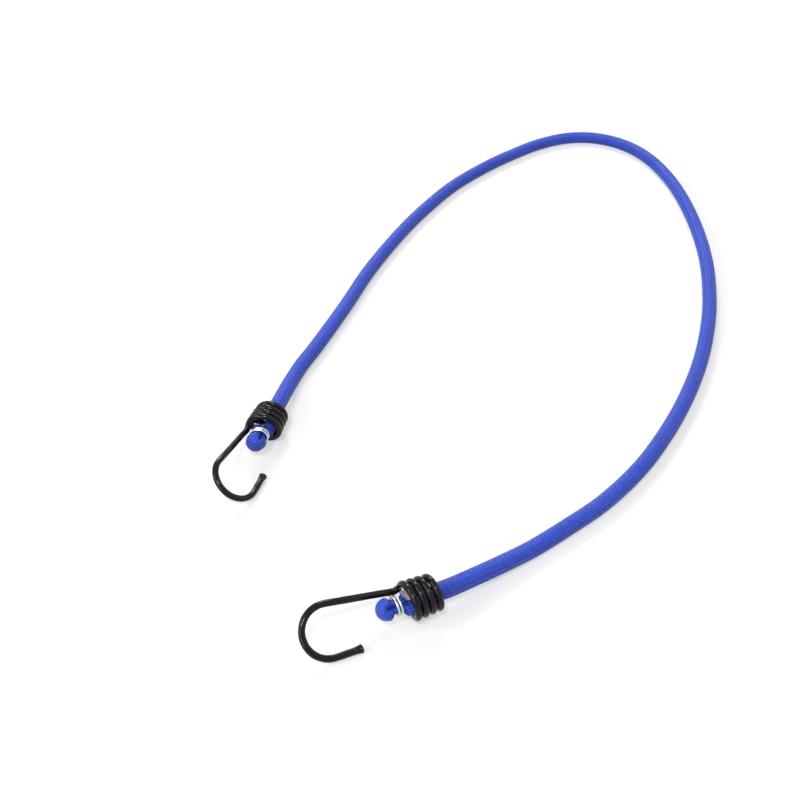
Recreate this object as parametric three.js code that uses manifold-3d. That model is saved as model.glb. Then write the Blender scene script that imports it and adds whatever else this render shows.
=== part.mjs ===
// A bungee cord lying in a loop on a table. A braided sheath holds seven rubber strands. Each end of
// the cord passes through the coil of a wire hook, is folded back on itself and clipped, so that the
// folded bulb is too big to pull back through the coil. Sizes are in millimetres and +Z is up. The
// table is z = 0, and the origin is under the middle of the box that holds both hooks.

import * as THREE from 'three';
import { mergeVertices } from 'three/addons/utils/BufferGeometryUtils.js';
import Module from 'manifold-3d';

const wasm = await Module();
wasm.setup();

// Cord, where it lies free
const CORD_DIAMETER = 8;
const SHEATH_WALL = 0.8;
const CENTRE_STRAND_WIDTH = 1.7;
const OUTER_STRANDS = 6;
const STRAND_GAP = 0.3;
const REST_FLATTENING = 0.8;

// Folded end of the cord: widths are measured across one limb, thicknesses square to the fold. The
// limbs swell into a neck behind the clip, where the tail is cut aslant.
const NECK_WIDTH = 5.4;
const NECK_THICKNESS = 7.4;
const NECK_LENGTH = 4.3;
const PINCH_WIDTH = 2.9;
const PINCH_THICKNESS = 6.6;
const LIMB_GAP = 0.45;
const BULB_WIDTH = 4.5;
const BULB_THICKNESS = 8.6;
const BULB_SLIT = 0.6;
const BULB_SHOULDER = 2;
const TAIL_LENGTH = 4.1;
const TAIL_LEAN_ACROSS = 0.6;
const TAIL_LEAN_SQUARE = 0.9;

// Clip of bright wire that pinches the two limbs
const CLIP_WIRE = 1.05;
const CLIP_TURNS = 2.2;
const CLIP_TURN_GAP = 0.45;
const CLIP_CLEARANCE = 0.32;
const CLIP_STANDOFF = 2.75;

// Hook of coated wire: the coil is loose on the neck and on the cord, and narrows towards the rear
const WIRE_DIAMETER = 3;
const COIL_TURNS = 3.65;
const COIL_TURN_GAP = 0.45;
const COIL_NECK_CLEARANCE = 0.4;
const COIL_REAR_PLAY = 2.5;
const TAKE_OFF_RADIUS = 2.8;
const TAKE_OFF_ANGLE = THREE.MathUtils.degToRad(42);
const BIGHT_BORE = 18.6;
const BIGHT_REACH = 34.6;
const BIGHT_SWEEP = THREE.MathUtils.degToRad(188);
const TIP_LENGTH = 11;
const TIP_HEAD_DIAMETER = 3.8;
const TIP_HEAD_LENGTH = 2.6;

// Head of the tip: its root as a share of the wire, then its profile as shares of its radius and length
const TIP_HEAD_ROOT = 0.9;
const TIP_HEAD_PROFILE = [[1, -0.35], [0.94, 0.1], [0.6, 0.3], [0, 0.36]];

// Gap between the cord and the turn of the coil that it rests on
const SEAT_GAP = 0.4;

// Where each coil's front stands on the table, and the way its hook points
const END_A = { name: 'a', x: 36.5, y: -47.5, heading: THREE.MathUtils.degToRad(205) };
const END_B = { name: 'b', x: -32.5, y: 58.5, heading: THREE.MathUtils.degToRad(254.5) };

// Route of the free cord over the table, from end A round to end B
const ROUTE = [
  [91, -14], [108, -1], [126, 14], [146, 36], [162, 59], [178, 87], [193, 120], [205, 156],
  [212, 186], [217, 218], [219, 253], [218, 288], [214, 318], [206, 345], [196, 362], [184, 372.5],
  [170, 378], [153, 377.5], [132, 368], [109, 350], [93, 335], [70, 309], [50, 278], [36, 252],
  [16, 207], [2, 167], [-12, 130], [-20, 110],
];

// Facets
const CORD_SIDES = 12;
const CORD_STEP = 22;
const FOLD_STEPS = 6;
const COIL_PASS_STEPS = 4;
const WIRE_SIDES = 8;
const WIRE_STEP = 2.7;
const CLIP_SIDES = 6;
const CLIP_STEP = 1.6;
const HEAD_SIDES = 12;

// Points on a wire's centreline: to one turn, and to the take-off bend, the shank and the bight
const TURN_POINTS = 16;
const BEND_POINTS = 4;
const SHANK_POINTS = 6;
const BIGHT_POINTS = 16;

// Measuring a wire's gap to itself: points to one diameter, and the diameters along it left out
const GAP_POINTS = 4;
const GAP_REACH = 3;

// Corners of a mesh that are nearer than this are one corner
const WELD_DISTANCE = 1e-4;

// Worked-out sizes of the cord
const cordRadius = CORD_DIAMETER / 2;
const boreRadius = cordRadius - SHEATH_WALL;
const restHeight = cordRadius - REST_FLATTENING;
const neckOffset = (LIMB_GAP + NECK_WIDTH) / 2;
const pinchOffset = (LIMB_GAP + PINCH_WIDTH) / 2;
const bulbOffset = (BULB_SLIT + BULB_WIDTH) / 2;

// Worked-out sizes of the clip
const clipPitch = CLIP_WIRE + CLIP_TURN_GAP;
const clipLength = CLIP_TURNS * clipPitch + CLIP_WIRE;
const clipFront = CLIP_STANDOFF + clipLength;
const bulbCentre = clipFront + BULB_SHOULDER;

// Worked-out sizes of the hook
const wireRadius = WIRE_DIAMETER / 2;
const coilPitch = WIRE_DIAMETER + COIL_TURN_GAP;
const coilLength = COIL_TURNS * coilPitch;
const coilFrontRadius = neckOffset + (NECK_WIDTH + WIRE_DIAMETER) / 2 + COIL_NECK_CLEARANCE;
const coilRearRadius = (CORD_DIAMETER + COIL_REAR_PLAY + WIRE_DIAMETER) / 2;
const bightRadius = (BIGHT_BORE + WIRE_DIAMETER) / 2;

// The hook lies on its coil and on its bight or its tip's head; one smaller than the coil hangs down
const axisHeight = coilFrontRadius + wireRadius;
const hookLine = hookCentreline();
const bightSlope = (axisHeight - wireRadius) / bightRadius;
const headSlope = (axisHeight - TIP_HEAD_DIAMETER / 2) / -hookLine.tip.y;
const hookTilt = Math.asin(Math.min(1, bightSlope, headSlope));

// The cord rests on the rear turn of the coil, a little under the coil's axis
const cordDrop = COIL_REAR_PLAY / 2 - SEAT_GAP;

const UP = new THREE.Vector3(0, 0, 1);

// Directions at one end: along the hook, across the fold towards the tail, and square to the fold
function endAxes(end) {
  const along = new THREE.Vector3(Math.cos(end.heading), Math.sin(end.heading), 0);
  const left = new THREE.Vector3().crossVectors(UP, along);
  const across = UP.clone().multiplyScalar(Math.sin(hookTilt)).addScaledVector(left, -Math.cos(hookTilt));
  const square = new THREE.Vector3().crossVectors(across, along);
  return { along, across, square };
}

function smooth(share) {
  return share * share * (3 - 2 * share);
}

// Sections of the folded end, from the cut tail round the bulb and back through the coil. Each has its
// place along the hook and across the fold, its size, its turn in the fold, its share of the tail's
// aslant cut and its share of the way from the fold's axis down to where the cord rests.
function foldSections() {
  const neck = { w: neckOffset, width: NECK_WIDTH, thickness: NECK_THICKNESS };
  const pinch = { w: pinchOffset, width: PINCH_WIDTH, thickness: PINCH_THICKNESS };
  const bulb = { w: bulbOffset, width: BULB_WIDTH, thickness: BULB_THICKNESS };
  const round = { w: 0, width: CORD_DIAMETER, thickness: CORD_DIAMETER };
  const outward = { turn: 0, side: 1 };
  const homeward = { turn: Math.PI, side: -1 };
  const section = (x, from, to, share, way, cut = 0, drop = 0) => ({
    x,
    w: way.side * THREE.MathUtils.lerp(from.w, to.w, smooth(share)),
    width: THREE.MathUtils.lerp(from.width, to.width, smooth(share)),
    thickness: THREE.MathUtils.lerp(from.thickness, to.thickness, smooth(share)),
    turn: way.turn,
    cut,
    drop,
  });
  const shoulderMiddle = clipFront + BULB_SHOULDER / 2;
  const sections = [
    section(CLIP_STANDOFF - TAIL_LENGTH, neck, pinch, 0, outward, 1),
    section(CLIP_STANDOFF - TAIL_LENGTH / 2, neck, pinch, 1 / 2, outward, 1 / 2),
    section(CLIP_STANDOFF, pinch, bulb, 0, outward),
    section(clipFront, pinch, bulb, 0, outward),
    section(shoulderMiddle, pinch, bulb, 1 / 2, outward),
  ];
  for (let step = 0; step <= FOLD_STEPS; step += 1) {
    const turn = Math.PI * step / FOLD_STEPS;
    const x = bulbCentre + bulbOffset * Math.sin(turn);
    sections.push(section(x, bulb, bulb, 0, { turn, side: Math.cos(turn) }));
  }
  const neckRear = CLIP_STANDOFF - NECK_LENGTH;
  sections.push(
    section(shoulderMiddle, bulb, pinch, 1 / 2, homeward),
    section(clipFront, pinch, neck, 0, homeward),
    section(CLIP_STANDOFF, pinch, neck, 0, homeward),
    section(CLIP_STANDOFF - TAIL_LENGTH / 2, pinch, neck, 1, homeward),
  );
  const coilRear = -coilLength - WIRE_DIAMETER;
  for (let step = 0; step <= COIL_PASS_STEPS; step += 1) {
    const share = step / COIL_PASS_STEPS;
    const x = THREE.MathUtils.lerp(neckRear, coilRear, share);
    sections.push(section(x, neck, round, share, homeward, 0, share));
  }
  return sections;
}

// A station is one section of the cord in place: its centre, the axes of its section and its scale
function station(centre, tangent, upward, width, thickness) {
  const lift = upward.clone().addScaledVector(tangent, -upward.dot(tangent)).normalize();
  const side = new THREE.Vector3().crossVectors(lift, tangent);
  return { centre, side, lift, scaleSide: width / CORD_DIAMETER, scaleLift: thickness / CORD_DIAMETER };
}

// Stations of one end, in travel order from its tail; the far end is travelled towards its tail
function endStations(end, towardsTail) {
  const { along, across, square } = endAxes(end);
  const middle = new THREE.Vector3(end.x, end.y, axisHeight);
  const direction = towardsTail ? -1 : 1;
  const slant = across.clone().multiplyScalar(TAIL_LEAN_ACROSS).addScaledVector(square, TAIL_LEAN_SQUARE);
  const stations = foldSections().map((section) => {
    const centre = middle.clone().addScaledVector(along, section.x).addScaledVector(across, section.w);
    centre.addScaledVector(UP, -cordDrop * smooth(section.drop));
    const tangent = along.clone().multiplyScalar(direction * Math.cos(section.turn));
    tangent.addScaledVector(across, -direction * Math.sin(section.turn));
    const upward = square.clone().lerp(UP, section.drop).normalize();
    const placed = station(centre, tangent, upward, section.width, section.thickness);
    placed.side.addScaledVector(along, section.cut * placed.side.dot(slant));
    placed.lift.addScaledVector(along, section.cut * placed.lift.dot(slant));
    return placed;
  });
  return towardsTail ? stations.reverse() : stations;
}

// The free cord leaves each coil straight, comes down to the table and follows the route
function freeStations(fromEnd, toEnd) {
  const exit = (end, away) => {
    const { along } = endAxes(end);
    const middle = new THREE.Vector3(end.x, end.y, axisHeight - cordDrop);
    return middle.addScaledVector(along, -coilLength - WIRE_DIAMETER - away);
  };
  const onTable = ROUTE.map(([x, y]) => new THREE.Vector3(x, y, restHeight));
  const start = [exit(fromEnd, 0), exit(fromEnd, cordRadius)];
  const finish = [exit(toEnd, cordRadius), exit(toEnd, 0)];
  const points = [...start, ...onTable, ...finish];
  const curve = new THREE.CatmullRomCurve3(points, false, 'centripetal');
  const steps = Math.round(curve.getLength() / CORD_STEP);
  const stations = [];
  for (let step = 1; step < steps; step += 1) {
    const centre = curve.getPointAt(step / steps);
    centre.z = Math.max(centre.z, restHeight);
    const tangent = curve.getTangentAt(step / steps);
    stations.push(station(centre, tangent, UP, CORD_DIAMETER, CORD_DIAMETER));
  }
  console.log('free cord between the coils:', curve.getLength().toFixed(1), 'mm');
  return stations;
}

// Places a section's outline, drawn for the round cord, at every station; nothing goes under the floor
function rings(stations, outline, floor) {
  return stations.map(({ centre, side, lift, scaleSide, scaleLift }) => outline.map(({ x, y }) => {
    const point = centre.clone().addScaledVector(side, x * scaleSide).addScaledVector(lift, y * scaleLift);
    point.z = Math.max(point.z, floor);
    return point;
  }));
}

// A closed body through rings of points: a bar, or a tube where the rings of its bore are given
function loft(outer, bore) {
  const count = outer[0].length;
  const last = outer.length - 1;
  const positions = [...outer, ...(bore ?? [])].flat().flatMap((point) => point.toArray());
  const index = [];
  const quad = (a, b, c, d) => index.push(a, b, c, a, c, d);
  const skin = (start, inward) => {
    for (let ring = 0; ring < last; ring += 1) {
      for (let corner = 0; corner < count; corner += 1) {
        const next = (corner + 1) % count;
        const low = start + ring * count;
        const high = low + count;
        if (inward) quad(low + corner, high + corner, high + next, low + next);
        else quad(low + corner, low + next, high + next, high + corner);
      }
    }
  };
  skin(0, false);
  const end = last * count;
  if (bore) {
    const shift = outer.length * count;
    skin(shift, true);
    for (let corner = 0; corner < count; corner += 1) {
      const next = (corner + 1) % count;
      quad(corner, shift + corner, shift + next, next);
      quad(end + corner, end + next, shift + end + next, shift + end + corner);
    }
  } else {
    for (let corner = 1; corner < count - 1; corner += 1) {
      index.push(0, corner + 1, corner);
      index.push(end, end + corner, end + corner + 1);
    }
  }
  const geometry = new THREE.BufferGeometry();
  geometry.setAttribute('position', new THREE.Float32BufferAttribute(positions, 3));
  geometry.setIndex(index);
  geometry.computeVertexNormals();
  return geometry;
}

// Regular outline with a flat underneath
function polygon(radius, sides) {
  const corners = [];
  for (let corner = 0; corner < sides; corner += 1) {
    const angle = Math.PI * (2 * corner + 1) / sides - Math.PI / 2;
    corners.push(new THREE.Vector2(radius * Math.cos(angle), radius * Math.sin(angle)));
  }
  return corners;
}

// Outlines of the rubber strands, pressed together in the bore: a middle one and a ring round it
function strandOutlines() {
  const half = Math.PI / OUTER_STRANDS;
  const flatRadius = CENTRE_STRAND_WIDTH / 2;
  const centre = polygon(flatRadius / Math.cos(half), OUTER_STRANDS);
  const innerRadius = flatRadius + STRAND_GAP;
  const outerRadius = boreRadius * Math.cos(Math.PI / CORD_SIDES) - STRAND_GAP;
  const innerHalf = innerRadius * Math.tan(half) - STRAND_GAP / 2 / Math.cos(half);
  const outerHalf = half - Math.asin(STRAND_GAP / 2 / outerRadius);
  const arc = [-outerHalf, 0, outerHalf];
  const sector = [
    new THREE.Vector2(innerRadius, innerHalf),
    new THREE.Vector2(innerRadius, -innerHalf),
    ...arc.map((angle) => new THREE.Vector2(outerRadius * Math.cos(angle), outerRadius * Math.sin(angle))),
  ];
  const origin = new THREE.Vector2();
  const ring = [];
  for (let number = 0; number < OUTER_STRANDS; number += 1) {
    const angle = 2 * half * number - Math.PI / 2;
    ring.push(sector.map((corner) => corner.clone().rotateAround(origin, angle)));
  }
  return { centre, ring };
}

// Round wire along a smooth curve through points
function wireAlong(points, diameter, sides, step) {
  const curve = new THREE.CatmullRomCurve3(points, false, 'centripetal');
  const steps = Math.round(curve.getLength() / step);
  const section = new THREE.Shape(polygon(diameter / 2, sides));
  return new THREE.ExtrudeGeometry(section, { extrudePath: curve, steps, curveSegments: 1 });
}

// Least gap between stretches of one wire that lie side by side, measured on points along it
function leastGap(points, diameter) {
  const curve = new THREE.CatmullRomCurve3(points, false, 'centripetal');
  const samples = curve.getSpacedPoints(Math.round(curve.getLength() / diameter * GAP_POINTS));
  const apart = GAP_REACH * GAP_POINTS;
  let least = Infinity;
  for (let first = 0; first < samples.length; first += 1) {
    for (let second = first + apart; second < samples.length; second += 1) {
      least = Math.min(least, samples[first].distanceTo(samples[second]));
    }
  }
  return least - diameter;
}

function toSolid(geometry) {
  const bare = geometry.clone();
  bare.deleteAttribute('normal');
  bare.deleteAttribute('uv');
  const merged = mergeVertices(bare, WELD_DISTANCE);
  const vertProperties = new Float32Array(merged.attributes.position.array);
  const triVerts = new Uint32Array(merged.index.array);
  return new wasm.Manifold(new wasm.Mesh({ numProp: 3, vertProperties, triVerts }));
}

function fromSolid(solid) {
  const mesh = solid.getMesh();
  const geometry = new THREE.BufferGeometry();
  geometry.setAttribute('position', new THREE.Float32BufferAttribute(mesh.vertProperties, 3));
  geometry.setIndex(Array.from(mesh.triVerts));
  geometry.computeVertexNormals();
  return geometry;
}

// Centreline of the hook, with x along the coil's axis and the hook in the plane z = 0: a tapered
// right-handed coil, a take-off bend that lies on the coil, a shank, a round bight and a straight tip
function hookCentreline() {
  const points = [];
  const onCoil = (x, radius, angle) => {
    points.push(new THREE.Vector3(x, radius * Math.cos(angle), radius * Math.sin(angle)));
  };
  const coilEnd = TAKE_OFF_ANGLE - TAKE_OFF_RADIUS / coilFrontRadius;
  const coilPoints = Math.round(TURN_POINTS * COIL_TURNS);
  for (let step = 0; step <= coilPoints; step += 1) {
    const back = 1 - step / coilPoints;
    const radius = THREE.MathUtils.lerp(coilFrontRadius, coilRearRadius, back);
    onCoil(-coilLength * back, radius, coilEnd - 2 * Math.PI * COIL_TURNS * back);
  }
  for (let step = 1; step <= BEND_POINTS; step += 1) {
    const bend = Math.PI / 2 * step / BEND_POINTS;
    const angle = coilEnd + TAKE_OFF_RADIUS * Math.sin(bend) / coilFrontRadius;
    onCoil(TAKE_OFF_RADIUS * (1 - Math.cos(bend)), coilFrontRadius, angle);
  }
  const start = points.at(-1).clone();
  const toBight = new THREE.Vector2(BIGHT_REACH - start.x, -start.y);
  const slope = toBight.angle() + Math.asin(bightRadius / toBight.length());
  const onBight = (angle) => new THREE.Vector3(
    BIGHT_REACH + bightRadius * Math.cos(angle),
    bightRadius * Math.sin(angle),
    0,
  );
  const bightStart = slope + Math.PI / 2;
  const shankEnd = onBight(bightStart);
  for (let step = 1; step < SHANK_POINTS; step += 1) {
    const share = step / SHANK_POINTS;
    const point = start.clone().lerp(shankEnd, share);
    point.z = start.z * (1 - smooth(share));
    points.push(point);
  }
  for (let step = 0; step <= BIGHT_POINTS; step += 1) {
    points.push(onBight(bightStart - BIGHT_SWEEP * step / BIGHT_POINTS));
  }
  const bightEnd = bightStart - BIGHT_SWEEP;
  const tipDirection = new THREE.Vector3(Math.sin(bightEnd), -Math.cos(bightEnd), 0);
  const tip = points.at(-1).clone().addScaledVector(tipDirection, TIP_LENGTH);
  points.push(points.at(-1).clone().lerp(tip, 1 / 2), tip);
  return { points, tip, tipDirection };
}

// Head on the tip of the hook, where the coating flares and closes over the end of the wire
function tipHead(tip, tipDirection) {
  const headRadius = TIP_HEAD_DIAMETER / 2;
  const profile = [
    new THREE.Vector2(0, -TIP_HEAD_LENGTH),
    new THREE.Vector2(TIP_HEAD_ROOT * wireRadius, -TIP_HEAD_LENGTH),
    ...TIP_HEAD_PROFILE.map(([out, on]) => new THREE.Vector2(out * headRadius, on * TIP_HEAD_LENGTH)),
  ];
  const head = new THREE.LatheGeometry(profile, HEAD_SIDES);
  const turn = new THREE.Quaternion().setFromUnitVectors(new THREE.Vector3(0, 1, 0), tipDirection);
  return head.applyQuaternion(turn).translate(tip.x, tip.y, tip.z);
}

function hookGeometry() {
  const { points, tip, tipDirection } = hookLine;
  console.log('hook wire, least gap to itself:', leastGap(points, WIRE_DIAMETER).toFixed(2), 'mm');
  const wire = toSolid(wireAlong(points, WIRE_DIAMETER, WIRE_SIDES, WIRE_STEP));
  return fromSolid(wire.add(toSolid(tipHead(tip, tipDirection))));
}

// The clip winds round both limbs, clear of their corners, and laps over itself behind the fold
function clipGeometry() {
  const stand = CLIP_CLEARANCE + CLIP_WIRE / 2;
  const halfAcross = pinchOffset + PINCH_WIDTH / 2;
  const corner = pinchOffset / (halfAcross + CLIP_CLEARANCE);
  const halfSquare = PINCH_THICKNESS / 2 / Math.sqrt(1 - corner * corner);
  const points = [];
  const steps = Math.round(TURN_POINTS * CLIP_TURNS);
  for (let step = 0; step <= steps; step += 1) {
    const share = step / steps;
    const angle = Math.PI / 2 + Math.PI * CLIP_TURNS * (2 * share - 1);
    points.push(new THREE.Vector3(
      CLIP_STANDOFF + CLIP_WIRE / 2 + CLIP_TURNS * clipPitch * share,
      (halfAcross + stand) * Math.cos(angle),
      (halfSquare + stand) * Math.sin(angle),
    ));
  }
  console.log('clip wire, least gap to itself:', leastGap(points, CLIP_WIRE).toFixed(2), 'mm');
  return wireAlong(points, CLIP_WIRE, CLIP_SIDES, CLIP_STEP);
}

const braid = { color: 0x2f55c8, roughness: 0.6, metalness: 0 };
const rubber = { color: 0xf0dfc4, roughness: 0.75, metalness: 0 };
const coating = { color: 0x17120f, roughness: 0.3, metalness: 0 };
const brightWire = { color: 0xd8d9da, roughness: 0.25, metalness: 1 };

function part(name, geometry, finish) {
  const mesh = new THREE.Mesh(geometry, new THREE.MeshStandardMaterial(finish));
  mesh.name = name;
  return mesh;
}

function buildCord() {
  const stations = [
    ...endStations(END_A, false),
    ...freeStations(END_A, END_B),
    ...endStations(END_B, true),
  ];
  const cord = new THREE.Group();
  const skin = rings(stations, polygon(cordRadius, CORD_SIDES), 0);
  const bore = rings(stations, polygon(boreRadius, CORD_SIDES), SHEATH_WALL);
  cord.add(part('sheath', loft(skin, bore), braid));
  const strandFloor = SHEATH_WALL + STRAND_GAP;
  const { centre, ring } = strandOutlines();
  cord.add(part('core_strand_centre', loft(rings(stations, centre, strandFloor)), rubber));
  ring.forEach((outline, number) => {
    cord.add(part(`core_strand_${number + 1}`, loft(rings(stations, outline, strandFloor)), rubber));
  });
  return cord;
}

// Hook and clip of one end, turned about the coil's axis until the hook lies on the table
function buildEnd(end) {
  const group = new THREE.Group();
  group.position.set(end.x, end.y, axisHeight);
  group.rotation.z = end.heading;
  const hook = part(`hook_${end.name}`, hookShape.clone(), coating);
  hook.rotation.x = Math.PI - hookTilt;
  const clip = part(`clip_${end.name}`, clipShape.clone(), brightWire);
  clip.rotation.x = Math.PI - hookTilt;
  group.add(hook, clip);
  return group;
}

const hookShape = hookGeometry();
const clipShape = clipGeometry();

const bungeeCord = new THREE.Group();
bungeeCord.add(buildCord(), buildEnd(END_A), buildEnd(END_B));

export default bungeeCord;
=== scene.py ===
"""Looks of a hooked bungee cord that lies in a loop on a table.

A braided sheath over a rubber core, two hooks of coated wire and two wire clips.
"""

import logging
import math
from dataclasses import dataclass, field
from enum import Enum
from typing import Any

import bpy
import numpy as np
from bpy.types import Material, Mesh, Node, NodeSocket, NodeTree, Object
from mathutils import Matrix, Vector


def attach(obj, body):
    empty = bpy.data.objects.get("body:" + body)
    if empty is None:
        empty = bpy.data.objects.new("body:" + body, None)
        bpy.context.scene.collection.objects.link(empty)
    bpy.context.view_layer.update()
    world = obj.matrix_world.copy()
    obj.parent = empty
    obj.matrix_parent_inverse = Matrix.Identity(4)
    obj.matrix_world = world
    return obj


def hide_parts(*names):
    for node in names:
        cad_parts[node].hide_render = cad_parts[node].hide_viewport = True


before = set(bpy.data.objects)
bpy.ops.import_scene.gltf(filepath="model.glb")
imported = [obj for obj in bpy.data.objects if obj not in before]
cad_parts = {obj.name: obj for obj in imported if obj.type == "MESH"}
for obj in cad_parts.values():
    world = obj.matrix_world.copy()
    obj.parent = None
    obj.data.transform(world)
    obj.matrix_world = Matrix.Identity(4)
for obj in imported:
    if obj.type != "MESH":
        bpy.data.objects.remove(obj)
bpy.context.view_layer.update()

log = logging.getLogger("bungee_cord")

MM = 0.001
TAU = 2 * math.pi
UP = np.array([0.0, 0.0, 1.0])
PATTERN_MAP = "strand"
BAKE_MAP = "OFBake"

# Edges left free in the bake map, as shares of a strand's strip and of the map.
STRIP_EDGE = 0.04
MAP_EDGE = 0.002

# Columns of the cord's rows: its place, the axes of its section, and its reach along each. While
# the rows are laid, the way up and the way along the cord stand in the axes' columns.
PLACE, SIDE, LIFT = slice(0, 3), slice(3, 6), slice(6, 9)
UPWARD, FORWARD = SIDE, LIFT
HALF_SIDE, HALF_LIFT = 9, 10

Colour = tuple[float, float, float, float]
Place = tuple[float, float, float]
Limits = tuple[float, float]

WHITE: Colour = (1, 1, 1, 1)
BLACK: Colour = (0, 0, 0, 1)


class Slot(Enum):
    """Material slots of the part's record."""

    SHEATH = "braided_sheath"
    CORE = "rubber_core"
    HOOK = "coated_wire"
    CLIP = "bright_wire"


class Body(Enum):
    """Bodies of the part that pieces ride on."""

    CORD = "cord"
    HOOK_A = "hook_a"
    HOOK_B = "hook_b"


class Hand(Enum):
    """The two ways that yarns wind round the cord."""

    RIGHT = 1
    LEFT = -1


@dataclass(frozen=True)
class Val:
    """A number socket of a node tree. Arithmetic on it adds Math nodes."""

    graph: "Graph"
    socket: NodeSocket

    def _math(self, operation: str, *operands: Any) -> "Val":
        """Adds one Math node.

        Args:
            operation: The Math node's operation.
            operands: Values or numbers for its sockets, in order.

        Returns:
            The node's result.
        """
        sockets = dict(enumerate(operands))
        return self.graph.out(self.graph.node("ShaderNodeMath", {"operation": operation}, sockets))

    def __add__(self, other: Any) -> "Val":
        """Sum."""
        return self._math("ADD", self, other)

    def __radd__(self, other: Any) -> "Val":
        """Sum with a number on the left."""
        return self._math("ADD", other, self)

    def __sub__(self, other: Any) -> "Val":
        """Difference."""
        return self._math("SUBTRACT", self, other)

    def __rsub__(self, other: Any) -> "Val":
        """Difference from a number on the left."""
        return self._math("SUBTRACT", other, self)

    def __mul__(self, other: Any) -> "Val":
        """Product."""
        return self._math("MULTIPLY", self, other)

    def __rmul__(self, other: Any) -> "Val":
        """Product with a number on the left."""
        return self._math("MULTIPLY", other, self)

    def __truediv__(self, other: Any) -> "Val":
        """Quotient."""
        return self._math("DIVIDE", self, other)

    def __rtruediv__(self, other: Any) -> "Val":
        """Quotient of a number on the left."""
        return self._math("DIVIDE", other, self)

    def apply(self, operation: str, *others: Any) -> "Val":
        """Any other Math operation with this value first."""
        return self._math(operation, self, *others)

    def within(self, low: float, high: float) -> "Val":
        """The value kept between two numbers."""
        return self.apply("MAXIMUM", low).apply("MINIMUM", high)

    def sway(self, amount: float) -> "Val":
        """A value from 0 to 1 as a swing of this amount round nought."""
        return (self - 0.5) * amount


class Graph:
    """A shader or geometry node tree that is filled by code."""

    def __init__(self, tree: NodeTree) -> None:
        """Takes the tree that nodes are added to."""
        self.tree = tree

    @classmethod
    def shader(cls, name: str) -> tuple["Graph", Material]:
        """Starts a material.

        Args:
            name: The material's name.

        Returns:
            The graph of its empty node tree, and the material.
        """
        material = bpy.data.materials.new(name)
        material.use_nodes = True
        material.node_tree.nodes.clear()
        return cls(material.node_tree), material

    def feed(self, socket: NodeSocket, value: Any) -> None:
        """Links a value to a socket, or sets a number, colour or vector on it.

        Args:
            socket: The socket.
            value: What it gets.
        """
        if isinstance(value, Val):
            self.tree.links.new(value.socket, socket)
        else:
            socket.default_value = value

    def node(
        self,
        kind: str,
        settings: dict[str, Any] | None = None,
        sockets: dict[Any, Any] | None = None,
    ) -> Node:
        """Adds a node.

        Args:
            kind: The node's type.
            settings: Its properties, set first.
            sockets: Values or links of its inputs, by name or number.

        Returns:
            The node.
        """
        made = self.tree.nodes.new(kind)
        for name, value in (settings or {}).items():
            setattr(made, name, value)
        for key, value in (sockets or {}).items():
            self.feed(made.inputs[key], value)
        return made

    def out(self, node: Node, name: Any = 0) -> Val:
        """A node's output, by name or number."""
        return Val(self, node.outputs[name])

    def vector(self, operation: str, first: Any, second: Any) -> Val:
        """A Vector Math node. SCALE takes a number second."""
        sockets = {0: first, 3 if operation == "SCALE" else 1: second}
        return self.out(self.node("ShaderNodeVectorMath", {"operation": operation}, sockets))

    def total(self, first: Val, second: Val) -> Val:
        """Sum of two vectors."""
        return self.vector("ADD", first, second)

    def mark(self, name: str) -> Val:
        """A number that a mesh keeps on its points, in a material."""
        return self.out(self.node("ShaderNodeAttribute", {"attribute_name": name}), "Fac")

    def place(self) -> Val:
        """Object coordinates, in a material."""
        return self.out(self.node("ShaderNodeTexCoord"), "Object")

    def noise(self, scale: float, detail: float, place: Val | None = None) -> Val:
        """A noise value from 0 to 1.

        Args:
            scale: Cells to each unit of the place.
            detail: Finer layers.
            place: Where it is read. Object coordinates are the default.

        Returns:
            The noise.
        """
        sockets = {"Vector": place or self.place(), "Scale": scale, "Detail": detail}
        return self.out(self.node("ShaderNodeTexNoise", None, sockets), "Fac")

    def along_strand(self, across: float, along: float) -> Val:
        """Coordinates on a strand, from its pattern map.

        Args:
            across: Factor on the share of its girth.
            along: Factor on its length in millimetres.

        Returns:
            The stretched coordinates.
        """
        chart = self.out(self.node("ShaderNodeUVMap", {"uv_map": PATTERN_MAP}))
        return self.vector("MULTIPLY", chart, (across, along, 1.0))

    def blend(self, share: Any, low: Any, high: Any) -> Val:
        """Mixes two colours, on sockets that go by number because their names repeat."""
        node = self.node("ShaderNodeMix", {"data_type": "RGBA"}, {0: share, 6: low, 7: high})
        return self.out(node, 2)

    def seen(self) -> Val:
        """One where the camera looks straight or by way of a gloss, and nought for other light."""
        path = self.node("ShaderNodeLightPath")
        return (self.out(path, "Is Camera Ray") + self.out(path, "Is Glossy Ray")).within(0, 1)

    def away(self) -> Val:
        """Distance from the piece's origin in metres."""
        settings, sockets = {"operation": "LENGTH"}, {0: self.place()}
        return self.out(self.node("ShaderNodeVectorMath", settings, sockets), "Value")

    def bump(self, height: Val, strength: float, depth: float) -> Val:
        """A normal from heights, with the node's strength, and its depth in millimetres."""
        sockets = {"Height": height, "Strength": strength, "Distance": depth * MM}
        return self.out(self.node("ShaderNodeBump", None, sockets), "Normal")

    def surface(self, **sockets: Any) -> None:
        """Ends a material in one Principled shader.

        Args:
            sockets: Values or links of its sockets, named in words joined by _.
        """
        named = {name.replace("_", " "): value for name, value in sockets.items()}
        shader = self.node("ShaderNodeBsdfPrincipled", None, named)
        self.node("ShaderNodeOutputMaterial", None, {"Surface": self.out(shader)})


@dataclass(frozen=True)
class Finish:
    """A surface that is painted by nodes. Scales are cells to the metre, depths millimetres."""

    name: str

    def paint(self, graph: Graph) -> None:
        """Fills the material's nodes.

        Args:
            graph: The material's graph.
        """
        raise NotImplementedError

    def make(self) -> Material:
        """Builds the material.

        Returns:
            The material.
        """
        graph, material = Graph.shader(self.name)
        self.paint(graph)
        return material


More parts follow.
